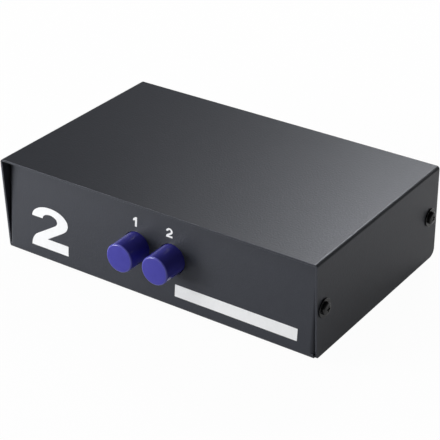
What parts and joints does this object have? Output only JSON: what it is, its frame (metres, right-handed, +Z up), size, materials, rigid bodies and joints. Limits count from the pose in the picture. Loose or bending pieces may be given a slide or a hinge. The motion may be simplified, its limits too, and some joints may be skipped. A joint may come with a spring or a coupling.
{
  "type": "composite video switch",
  "caption": "Low steel box with two interlocked round push buttons in front and colour-coded phono sockets behind, which switches video with stereo audio.",
  "frame": {"origin": "centre of the bounding box, on the surface that the rubber feet stand on", "axes": "+X to the right as seen from the front, +Y from the buttons to the sockets, +Z up"},
  "size_m": [0.1366, 0.1, 0.0385],
  "materials": {
    "case_paint": "fine textured black paint",
    "screw_steel": "blackened steel",
    "foot_rubber": "matt rubber",
    "board_laminate": "brown laminate",
    "spacer_steel": "zinc plated",
    "block_plastic": "black moulding",
    "sleeve_nickel": "nickel plated",
    "yellow_plastic": "yellow moulding",
    "white_plastic": "white moulding",
    "red_plastic": "red moulding",
    "contact_brass": "plated brass",
    "frame_steel": "zinc plated",
    "switch_plastic": "black moulding",
    "plunger_plastic": "natural white moulding",
    "spring_steel": "bright wire",
    "button_plastic": "violet blue moulding"
  },
  "bodies": {
    "case": {"top_cover": "case_paint", "base_chassis": "case_paint", "cover_screws": "screw_steel", "cover_washers": "screw_steel", "rubber_feet": "foot_rubber", "circuit_board": "board_laminate", "board_standoffs": "spacer_steel", "board_screws": "spacer_steel", "input_1_jack_block": "block_plastic", "input_2_jack_block": "block_plastic", "output_jack_block": "block_plastic", "jack_ground_plates": "sleeve_nickel", "jack_shells": "sleeve_nickel", "video_insulators": "yellow_plastic", "left_audio_insulators": "white_plastic", "right_audio_insulators": "red_plastic", "jack_centre_contacts": "contact_brass", "jack_block_screws": "screw_steel", "switch_frame": "frame_steel", "interlock_spring": "spring_steel", "switch_body_1": "switch_plastic", "switch_terminals_1": "contact_brass", "return_spring_1": "spring_steel", "switch_body_2": "switch_plastic", "switch_terminals_2": "contact_brass", "return_spring_2": "spring_steel"},
    "button_1": {"button_cap_1": "button_plastic", "plunger_1": "plunger_plastic", "moving_contacts_1": "contact_brass"},
    "button_2": {"button_cap_2": "button_plastic", "plunger_2": "plunger_plastic", "moving_contacts_2": "contact_brass"},
    "interlock": {"interlock_slide": "frame_steel"}
  },
  "joints": [
    {"name": "button_1_press", "type": "slide", "parent": "case", "child": "button_1", "axis": [0, 1, 0], "range_m": [0, 0.004], "stiffness_N_per_m": 250, "springref_m": -0.004, "deforming": ["return_spring_1"]},
    {"name": "button_2_press", "type": "slide", "parent": "case", "child": "button_2", "axis": [0, 1, 0], "range_m": [0, 0.004], "stiffness_N_per_m": 250, "springref_m": -0.004, "deforming": ["return_spring_2"]},
    {"name": "interlock_slide_shift", "type": "slide", "parent": "case", "child": "interlock", "axis": [1, 0, 0], "range_m": [0, 0.0012], "stiffness_N_per_m": 150, "springref_m": -0.001, "deforming": ["interlock_spring"]}
  ],
  "couplings": [
    {"joint": "interlock_slide_shift", "follows": "button_1_press", "ratio": 0.3}
  ]
}
